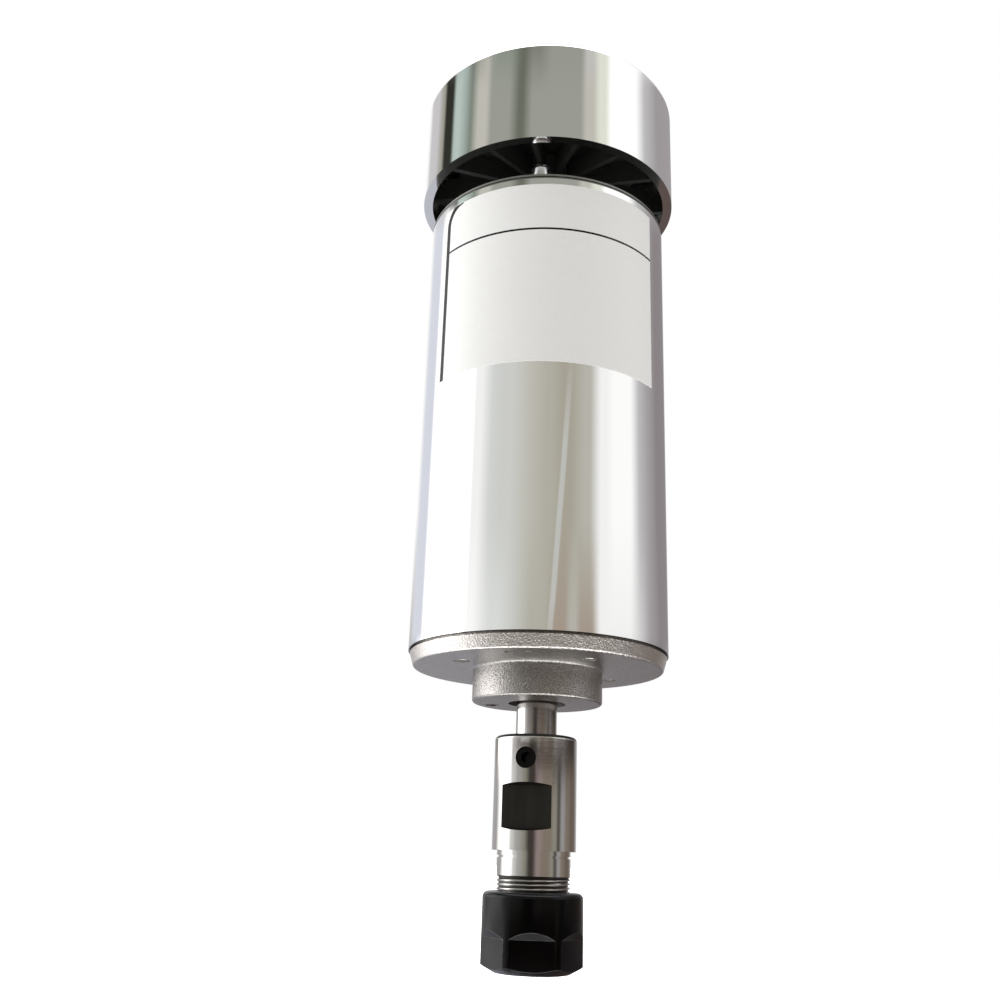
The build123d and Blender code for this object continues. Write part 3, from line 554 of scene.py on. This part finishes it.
# Ferrite: a matt charcoal grey, paler where crumbs of about 0.45 mm broke out.
ferrite, tree, shader = new_material("sintered_ferrite", "#3a3b3f", 0.0, 0.62)
place = add_node(tree, "ShaderNodeTexCoord").outputs["Object"]
grains = add_node(tree, "ShaderNodeTexVoronoi", {"Vector": place, "Scale": 2200.0})
tone = add_node(
    tree, "ShaderNodeMix",
    {"Factor": grains.outputs["Distance"], 6: linear("#2c2d30"), 7: linear("#4a4b50")},
    data_type="RGBA",
)
tree.links.new(tone.outputs[2], shader.inputs["Base Color"])
for name in ("magnet_left", "magnet_right"):
    nodes[name].data.materials[0] = ferrite

# ---- Ball bearings and preload washer
# Races and balls of lapped chrome steel. The cages, the shields, the washer that preloads the rear
# bearing and the brushes' springs are pressed or wound from thin strip.

# Lapped steel: mirror bright. Its marks of some thousandths are drawn 0.7 mm wide, as a haze.
lapped, tree, shader = new_material("lapped_bearing_steel", "#c9cacb", 1.0, 0.12)
place = add_node(tree, "ShaderNodeTexCoord").outputs["Object"]
marks = add_node(tree, "ShaderNodeTexNoise", {"Vector": place, "Scale": 1500.0, "Detail": 2.0})
dull = add_node(
    tree, "ShaderNodeMapRange", {"Value": marks.outputs["Fac"], "To Min": 0.08, "To Max": 0.17},
)
tree.links.new(dull.outputs[0], shader.inputs["Roughness"])
# Pressed strip: duller than the races. Its rolling lines are drawn 0.3 mm apart, so they show.
strip, tree, shader = new_material("pressed_steel_strip", "#a9a9a8", 1.0, 0.3)
place = add_node(tree, "ShaderNodeTexCoord").outputs["Object"]
lines = add_node(tree, "ShaderNodeMapping", {"Vector": place, "Scale": (0.04, 1.0, 1.0)})
rolling = add_node(tree, "ShaderNodeTexNoise", {"Vector": lines, "Scale": 3000.0, "Detail": 2.0})
dull = add_node(
    tree, "ShaderNodeMapRange", {"Value": rolling.outputs["Fac"], "To Min": 0.22, "To Max": 0.42},
)
tree.links.new(dull.outputs[0], shader.inputs["Roughness"])
for end in ("front", "rear"):
    for piece in ("outer_race", "inner_race", "balls"):
        nodes[f"{end}_bearing_{piece}"].data.materials[0] = lapped
    for piece in ("cage", "shields"):
        nodes[f"{end}_bearing_{piece}"].data.materials[0] = strip
for name in ("preload_washer", "brush_spring_left", "brush_spring_right"):
    nodes[name].data.materials[0] = strip

# ---- Armature
# Slotted laminations of electrical steel pressed on the shaft between two sheets of pressed fibre,
# wound with enamelled copper wire 0.4 mm thick and dipped in varnish.

# Varnished laminations: dark brownish steel with a line at each sheet. The sheets are 0.5 mm thick,
# and are drawn 1 mm thick, so that they show.
laminations, tree, shader = new_material("varnished_lamination_stack", "#5d5a55", 0.8, 0.4)
place = add_node(tree, "ShaderNodeTexCoord").outputs["Object"]
sheets = add_node(
    tree, "ShaderNodeTexWave", {"Vector": place, "Scale": 320.0, "Distortion": 0.3},
    bands_direction="Z",
)
tone = add_node(
    tree, "ShaderNodeMix",
    {"Factor": sheets.outputs["Fac"], 6: linear("#423f3b"), 7: linear("#77736c")},
    data_type="RGBA",
)
tree.links.new(tone.outputs[2], shader.inputs["Base Color"])
nodes["armature_core"].data.materials[0] = laminations
# Pressed fibre: a soft, matt grey-green, felted in patches of 0.7 mm.
fibre, tree, shader = new_material("pressed_insulating_fibre", "#6f8079", 0.0, 0.75)
place = add_node(tree, "ShaderNodeTexCoord").outputs["Object"]
felt = add_node(tree, "ShaderNodeTexNoise", {"Vector": place, "Scale": 1400.0, "Detail": 6.0})
tone = add_node(
    tree, "ShaderNodeMix",
    {"Factor": felt.outputs["Fac"], 6: linear("#5d6e67"), 7: linear("#84958d")},
    data_type="RGBA",
)
tree.links.new(tone.outputs[2], shader.inputs["Base Color"])
for name in ("front_end_fibre", "rear_end_fibre"):
    nodes[name].data.materials[0] = fibre
# Enamelled wire: glossy red-brown strands, drawn 0.9 mm thick, so that they show.
enamel, tree, shader = new_material("enamelled_copper_wire", "#8d3f1e", 0.9, 0.28)
place = add_node(tree, "ShaderNodeTexCoord").outputs["Object"]
strands = add_node(
    tree, "ShaderNodeTexWave", {"Vector": place, "Scale": 400.0, "Distortion": 6.0, "Detail": 2.0},
    bands_direction="DIAGONAL",
)
tone = add_node(
    tree, "ShaderNodeMix",
    {"Factor": strands.outputs["Fac"], 6: linear("#6b2a12"), 7: linear("#a9552c")},
    data_type="RGBA",
)
tree.links.new(tone.outputs[2], shader.inputs["Base Color"])
bump = add_node(
    tree, "ShaderNodeBump", {"Height": strands.outputs["Fac"], "Strength": 0.6, "Distance": 0.0002},
)
tree.links.new(bump.outputs[0], shader.inputs["Normal"])
nodes["armature_winding"].data.materials[0] = enamel

# ---- Commutator and brush gear
# Copper segments moulded on a phenolic hub and turned true, and two carbon brushes that slide in
# brass boxes on a phenolic board. A brass blade runs from each box through the rear bell.

# Turned copper: warm pink metal with a lathe's rings, drawn 0.2 mm apart, twice the real feed.
copper, tree, shader = new_material("turned_copper", "#c98663", 1.0, 0.24)
place = add_node(tree, "ShaderNodeTexCoord").outputs["Object"]
cut = add_node(tree, "ShaderNodeMapping", {"Vector": place, "Scale": (0.05, 0.05, 1.0)})
tool_marks = add_node(tree, "ShaderNodeTexNoise", {"Vector": cut, "Scale": 5000.0, "Detail": 2.0})
tone = add_node(
    tree, "ShaderNodeMix",
    {"Factor": tool_marks.outputs["Fac"], 6: linear("#a9644a"), 7: linear("#d9a07c")},
    data_type="RGBA",
)
tree.links.new(tone.outputs[2], shader.inputs["Base Color"])
nodes["commutator_bars"].data.materials[0] = copper
# Canvas phenolic: brown and half glossy, with the cloth's threads of 1 mm showing through.
phenolic, tree, shader = new_material("canvas_phenolic_laminate", "#5a3519", 0.0, 0.45)
place = add_node(tree, "ShaderNodeTexCoord").outputs["Object"]
warp = add_node(
    tree, "ShaderNodeTexWave", {"Vector": place, "Scale": 300.0, "Distortion": 0.8},
    bands_direction="X",
)
weft = add_node(
    tree, "ShaderNodeTexWave", {"Vector": place, "Scale": 300.0, "Distortion": 0.8},
    bands_direction="Y",
)
weave = add_node(
    tree, "ShaderNodeMath", {0: warp.outputs["Fac"], 1: weft.outputs["Fac"]}, operation="MULTIPLY",
)
tone = add_node(
    tree, "ShaderNodeMix", {"Factor": weave, 6: linear("#4a2a13"), 7: linear("#714722")},
    data_type="RGBA",
)
tree.links.new(tone.outputs[2], shader.inputs["Base Color"])
for name in ("brush_board", "commutator_hub"):
    nodes[name].data.materials[0] = phenolic
# Stamped brass: yellow metal, tarnished in patches of 2.4 mm.
brass, tree, shader = new_material("stamped_brass", "#c9a456", 1.0, 0.26)
place = add_node(tree, "ShaderNodeTexCoord").outputs["Object"]
tarnish = add_node(tree, "ShaderNodeTexNoise", {"Vector": place, "Scale": 420.0, "Detail": 4.0})
tone = add_node(
    tree, "ShaderNodeMix",
    {"Factor": tarnish.outputs["Fac"], 6: linear("#a98542"), 7: linear("#dabb72")},
    data_type="RGBA",
)
tree.links.new(tone.outputs[2], shader.inputs["Base Color"])
for name in ("brush_box_left", "brush_box_right", "terminal_left", "terminal_right"):
    nodes[name].data.materials[0] = brass
# Pressed carbon: nearly black and dusty, with paler flecks of 0.3 mm painted in as glints of flakes
# that catch a little light.
carbon, tree, shader = new_material("pressed_carbon", "#1e1e20", 0.0, 0.55)
place = add_node(tree, "ShaderNodeTexCoord").outputs["Object"]
flakes = add_node(tree, "ShaderNodeTexVoronoi", {"Vector": place, "Scale": 3200.0})
tone = add_node(
    tree, "ShaderNodeMix",
    {"Factor": flakes.outputs["Distance"], 6: linear("#161617"), 7: linear("#333336")},
    data_type="RGBA",
)
tree.links.new(tone.outputs[2], shader.inputs["Base Color"])
for name in ("brush_left", "brush_right"):
    nodes[name].data.materials[0] = carbon

# ---- Shaft and collet
# A stepped shaft, 8 mm across at the front, its spacer, and the slit collet, all of hardened carbon
# steel. The shaft is ground between centres and runs in both bearings.

# Ground steel: a bright grey with fine rings that draw reflections out along the axis. The wheel's
# lines of some hundredths are drawn 0.17 mm apart, so that they show.
ground, tree, shader = new_material("ground_steel", "#c6c4c1", 1.0, 0.1)
place = add_node(tree, "ShaderNodeTexCoord").outputs["Object"]
wheel = add_node(tree, "ShaderNodeMapping", {"Vector": place, "Scale": (0.03, 0.03, 1.0)})
rings = add_node(
    tree, "ShaderNodeTexNoise", {"Vector": wheel, "Scale": 6000.0, "Detail": 3.0, "Roughness": 0.7},
)
dull = add_node(
    tree, "ShaderNodeMapRange", {"Value": rings.outputs["Fac"], "To Min": 0.07, "To Max": 0.15},
)
tree.links.new(dull.outputs[0], shader.inputs["Roughness"])
bump = add_node(
    tree, "ShaderNodeBump", {"Height": rings.outputs["Fac"], "Strength": 0.2, "Distance": 0.00002},
)
tree.links.new(bump.outputs[0], shader.inputs["Normal"])
for name in ("shaft", "shaft_spacer", "collet", "chuck_arbor"):
    nodes[name].data.materials[0] = ground


# ---- Collet arbor
# Turned and ground from the same steel, bored for the shaft and held on it by two set screws. Below
# a run-out its thread is cut 0.4 mm deep at a pitch of 0.75 mm, and two wrench flats are milled
# across it.
def joined_copy(node):
    """A CAD node's shape with its triangles joined into whole faces, as a mesh to be worked on."""
    mesh = nodes[node].data.copy()
    if "custom_normal" in mesh.attributes:
        mesh.attributes.remove(mesh.attributes["custom_normal"])
    shape = bmesh.new()
    shape.from_mesh(mesh)
    bpy.data.meshes.remove(mesh)
    bmesh.ops.remove_doubles(shape, verts=shape.verts, dist=1e-6)
    bmesh.ops.dissolve_limit(shape, angle_limit=radians(0.4), verts=shape.verts, edges=shape.edges)
    return shape


def finished_piece(name, shape, materials, body, angle=30):
    """Object made from worked faces, shaded round up to an angle, riding on a body."""
    mesh = bpy.data.meshes.new(name)
    for material in materials:
        mesh.materials.append(material)
    shape.to_mesh(mesh)
    shape.free()
    mesh.shade_smooth()
    mesh.set_sharp_from_angle(angle=radians(angle))
    piece = bpy.data.objects.new(name, mesh)
    bpy.context.scene.collection.objects.link(piece)
    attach(piece, body)
    return piece


NECK_OUTER, CAVITY_OUTER, SAME = 0.0071, 0.0045, 1e-5
LEVEL, ROUNDED = 0.99, 0.3
THREAD_TOP, THREAD_RUN_OUT = -0.0417, -0.0420
THREAD_ROOT, THREAD_CREST, THREAD_PITCH, THREAD_TURNS = 0.0066, 0.00699, 0.00075, 14.0
THREAD_LEAD_IN, THREAD_CORE = 0.0002, 0.0064
FLAT_HIGH, FLAT_LOW, FLAT_REACH = -0.0255, -0.0332, 0.0079
ARBOR_SHOULDER = -0.0168
arbor = joined_copy("chuck_arbor")
for level in (THREAD_TOP, THREAD_RUN_OUT):
    bmesh.ops.bisect_plane(
        arbor, geom=arbor.verts[:] + arbor.edges[:] + arbor.faces[:],
        plane_co=(0, 0, level), plane_no=(0, 0, 1),
    )
for vertex in arbor.verts:
    wide = hypot(vertex.co.x, vertex.co.y)
    if vertex.co.z < THREAD_RUN_OUT + SAME and THREAD_ROOT + SAME < wide < NECK_OUTER:
        vertex.co.x *= THREAD_ROOT / wide
        vertex.co.y *= THREAD_ROOT / wide
for face in arbor.faces:
    middle = face.calc_center_median()
    wide = hypot(middle.x, middle.y)
    beside_flat = FLAT_LOW - SAME < middle.z < FLAT_HIGH + SAME
    on_flat = beside_flat and (abs(face.normal.z) > LEVEL or wide < FLAT_REACH)
    on_top = middle.z > ARBOR_SHOULDER and face.normal.z > ROUNDED
    on_root = middle.z < THREAD_TOP and wide > THREAD_CORE
    face.material_index = int(wide > CAVITY_OUTER and (on_flat or on_top or on_root))
# the cutter's corner leaves a flat's ends sloping outwards, so they meet the round in a low arch
FLAT_DEEP, FLAT_SLOPE, FLAT_TURN = 0.0064, 0.32, radians(-104.0)
for vertex in arbor.verts:
    deep = abs(vertex.co.x * cos(FLAT_TURN) + vertex.co.y * sin(FLAT_TURN)) - FLAT_DEEP
    if deep > SAME and abs(vertex.co.z - FLAT_HIGH) < SAME:
        vertex.co.z += FLAT_SLOPE * deep
    if deep > SAME and abs(vertex.co.z - FLAT_LOW) < SAME:
        vertex.co.z -= FLAT_SLOPE * deep
# Milled steel left black: a dull, dark brownish grey with the cutter's passes, 1.1 mm wide.
milled_black, tree, shader = new_material("blackened_milled_steel", "#34332f", 0.8, 0.42)
place = add_node(tree, "ShaderNodeTexCoord").outputs["Object"]
cutter = add_node(tree, "ShaderNodeMapping", {"Vector": place, "Scale": (1.0, 1.0, 0.1)})
passes = add_node(tree, "ShaderNodeTexNoise", {"Vector": cutter, "Scale": 900.0, "Detail": 4.0})
tone = add_node(
    tree, "ShaderNodeMix",
    {"Factor": passes.outputs["Fac"], 6: linear("#2a2926"), 7: linear("#3c3b37")},
    data_type="RGBA",
)
tree.links.new(tone.outputs[2], shader.inputs["Base Color"])
arbor = finished_piece("collet_arbor", arbor, [ground, milled_black], "rotor")
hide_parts("chuck_arbor")

# A thread is a ridge of trapezium section swept along a helix. Where the crest is the smaller
# radius, the ridge points inwards, as in a tapped hole. Each end runs out over a quarter of a turn,
# RUN_OUT being its inverse, and the ridge's foot is sunk into the core by a quarter of its height.
RUN_OUT, THINNEST, SINK = 4.0, 0.05, 1.25
FOOT_SHARE, CREST_SHARE = 0.96, 0.14
SPIRAL_STEPS = 72
tree = bpy.data.node_groups.new("cut_thread", "GeometryNodeTree")
for name in ("Root Radius", "Crest Radius", "Pitch", "Turns", "Top"):
    tree.interface.new_socket(name, in_out="INPUT", socket_type="NodeSocketFloat")
tree.interface.new_socket("Steel", in_out="INPUT", socket_type="NodeSocketMaterial")
tree.interface.new_socket("Geometry", in_out="OUTPUT", socket_type="NodeSocketGeometry")
sizes = add_node(tree, "NodeGroupInput").outputs
long = add_node(
    tree, "ShaderNodeMath", {0: sizes["Pitch"], 1: sizes["Turns"]}, operation="MULTIPLY",
)
deep = add_node(
    tree, "ShaderNodeMath", {0: sizes["Crest Radius"], 1: sizes["Root Radius"]},
    operation="SUBTRACT",
)
low = add_node(tree, "ShaderNodeMath", {0: sizes["Top"], 1: long}, operation="SUBTRACT")
helix = add_node(
    tree, "GeometryNodeCurveSpiral",
    {"Resolution": SPIRAL_STEPS, "Rotations": sizes["Turns"], "Start Radius": sizes["Root Radius"],
     "End Radius": sizes["Root Radius"], "Height": long, "Reverse": True},
)
lift = add_node(tree, "ShaderNodeCombineXYZ", {"Z": low})
helix = add_node(tree, "GeometryNodeTransform", {"Geometry": helix, "Translation": lift})
helix = add_node(tree, "GeometryNodeSetCurveNormal", {"Curve": helix}, mode="Z_UP")
along = add_node(tree, "GeometryNodeSplineParameter")
away = add_node(tree, "ShaderNodeMath", {0: 1.0, 1: along.outputs["Factor"]}, operation="SUBTRACT")
nearer = add_node(
    tree, "ShaderNodeMath", {0: along.outputs["Factor"], 1: away}, operation="MINIMUM",
)
taper = add_node(tree, "ShaderNodeMath", {0: nearer, 1: sizes["Turns"]}, operation="MULTIPLY")
taper = add_node(tree, "ShaderNodeMath", {0: taper, 1: RUN_OUT}, operation="MULTIPLY")
taper = add_node(tree, "ShaderNodeMath", {0: taper, 1: 1.0}, operation="MINIMUM")
taper = add_node(tree, "ShaderNodeMath", {0: taper, 1: THINNEST}, operation="MAXIMUM")
helix = add_node(tree, "GeometryNodeSetCurveRadius", {"Curve": helix, "Radius": taper})
tall = add_node(tree, "ShaderNodeMath", {0: deep, 1: SINK}, operation="MULTIPLY")
tall = add_node(tree, "ShaderNodeMath", {0: tall}, operation="ABSOLUTE")
facing = add_node(tree, "ShaderNodeMath", {0: deep}, operation="SIGN")
facing = add_node(tree, "ShaderNodeCombineXYZ", {"X": 1.0, "Y": facing, "Z": 1.0})
foot = add_node(tree, "ShaderNodeMath", {0: sizes["Pitch"], 1: FOOT_SHARE}, operation="MULTIPLY")
crest = add_node(tree, "ShaderNodeMath", {0: sizes["Pitch"], 1: CREST_SHARE}, operation="MULTIPLY")
ridge = add_node(
    tree, "GeometryNodeCurvePrimitiveQuadrilateral",
    {"Bottom Width": foot, "Top Width": crest, "Height": tall, "Offset": 0.0},
    mode="TRAPEZOID",
)
out = add_node(tree, "ShaderNodeMath", {0: deep, 1: 1.0 - SINK / 2}, operation="MULTIPLY")
shift = add_node(tree, "ShaderNodeCombineXYZ", {"X": out})
ridge = add_node(
    tree, "GeometryNodeTransform",
    {"Geometry": ridge, "Rotation": (0.0, 0.0, -pi / 2), "Translation": shift,
     "Scale": facing.outputs[0]},
)
thread = add_node(
    tree, "GeometryNodeCurveToMesh",
    {"Curve": helix, "Profile Curve": ridge, "Fill Caps": True},
)
thread = add_node(tree, "GeometryNodeRealizeInstances", {"Geometry": thread})
thread = add_node(
    tree, "GeometryNodeSetMaterial", {"Geometry": thread, "Material": sizes["Steel"]},
)
add_node(tree, "NodeGroupOutput", {"Geometry": thread})


def grown(name, tree, values, body, angle=30):
    """Plain mesh made by a tree of Geometry Nodes with its named inputs set, riding on a body."""
    piece = bpy.data.objects.new(name, bpy.data.meshes.new(name))
    bpy.context.scene.collection.objects.link(piece)
    modifier = piece.modifiers.new(name, "NODES")
    modifier.node_group = tree
    for socket in tree.interface.items_tree:
        if socket.in_out == "INPUT":
            modifier[socket.identifier] = values[socket.name]
    bpy.context.view_layer.update()
    graph = bpy.context.evaluated_depsgraph_get()
    mesh = bpy.data.meshes.new_from_object(piece.evaluated_get(graph), depsgraph=graph)
    piece.modifiers.remove(modifier)
    shape = bmesh.new()
    shape.from_mesh(mesh)
    bmesh.ops.remove_doubles(shape, verts=shape.verts, dist=1e-7)
    bmesh.ops.recalc_face_normals(shape, faces=shape.faces)
    shape.to_mesh(mesh)
    shape.free()
    mesh.name = name
    mesh.shade_smooth()
    mesh.set_sharp_from_angle(angle=radians(angle))
    piece.data = mesh
    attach(piece, body)
    return piece


thread = grown("arbor_thread", tree, {
    "Root Radius": THREAD_ROOT, "Crest Radius": THREAD_CREST, "Pitch": THREAD_PITCH,
    "Turns": THREAD_TURNS, "Top": THREAD_RUN_OUT - THREAD_LEAD_IN, "Steel": ground,
}, "rotor")
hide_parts("chuck_arbor")

# ---- Threads in the flange's holes
# The four M4 holes are drilled and tapped in the casting. Each hole has the turns next to its
# mouth, of 0.7 mm pitch.
HOLE_CIRCLE, HOLE_RADIUS, HOLE_FIRST = 0.0175, 0.00165, radians(33)
HOLE_CREST, HOLE_PITCH, HOLE_TURNS, HOLE_MOUTH = 0.00142, 0.0007, 3.0, 0.0006
# Cut aluminium: bright crests that glint in dark holes, smeared by the tap in 0.4 mm patches.
tapped, tapped_tree, shader = new_material("freshly_tapped_aluminium", "#b4b3b0", 1.0, 0.16)
place = add_node(tapped_tree, "ShaderNodeTexCoord").outputs["Object"]
smear = add_node(tapped_tree, "ShaderNodeTexNoise", {"Vector": place, "Scale": 2500.0})
dull = add_node(
    tapped_tree, "ShaderNodeMapRange",
    {"Value": smear.outputs["Fac"], "To Min": 0.1, "To Max": 0.24},
)
tapped_tree.links.new(dull.outputs[0], shader.inputs["Roughness"])
for k in range(4):
    angle = HOLE_FIRST + k * pi / 2
    turns = grown(f"tapped_turns_{k + 1}", tree, {
        "Root Radius": HOLE_RADIUS, "Crest Radius": HOLE_CREST, "Pitch": HOLE_PITCH,
        "Turns": HOLE_TURNS, "Top": FLANGE_FACE + HOLE_MOUTH + HOLE_PITCH * HOLE_TURNS,
        "Steel": tapped,
    }, "stator")
    hole = (HOLE_CIRCLE * cos(angle), HOLE_CIRCLE * sin(angle), 0.0)
    turns.data.transform(Matrix.Translation(hole))

# ---- Clamping nut
# Turned from bar with six flats milled on its lower half, hardened and blacked in hot oxide. Its
# edges are broken by 0.13 mm.
EDGE_BREAK, SHARP = 0.00013, radians(25)
nut = joined_copy("clamping_nut")
corners = [
    edge for edge in nut.edges if len(edge.link_faces) == 2 and edge.calc_face_angle() > SHARP
]
bmesh.ops.bevel(
    nut, geom=corners, offset=EDGE_BREAK, offset_type="OFFSET", segments=2, profile=0.5,
    affect="EDGES", clamp_overlap=True, material=1,
)
# The same oxide with its edges a brighter grey, in patches of 2 mm: partly rubbed by handling,
# partly a painted highlight.
wear_and_highlight_oxide = black_oxide.copy()
wear_and_highlight_oxide.name = "black_oxide_worn_and_highlit_at_edges"
tree = wear_and_highlight_oxide.node_tree
shader = tree.nodes["Principled BSDF"]
place = add_node(tree, "ShaderNodeTexCoord").outputs["Object"]
wear_and_highlight_patches = add_node(tree, "ShaderNodeTexNoise", {"Vector": place, "Scale": 500.0, "Detail": 3.0})
wear_and_highlight = add_node(
    tree, "ShaderNodeMapRange",
    {"Value": wear_and_highlight_patches.outputs["Fac"], "From Min": 0.35, "From Max": 0.6},
)
tone = add_node(
    tree, "ShaderNodeMix", {"Factor": wear_and_highlight, 6: linear("#2c2c2d"), 7: linear("#525253")},
    data_type="RGBA",
)
tree.links.new(tone.outputs[2], shader.inputs["Base Color"])
nut = finished_piece("collet_nut", nut, [black_oxide, wear_and_highlight_oxide], "nut", 40)
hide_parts("clamping_nut")
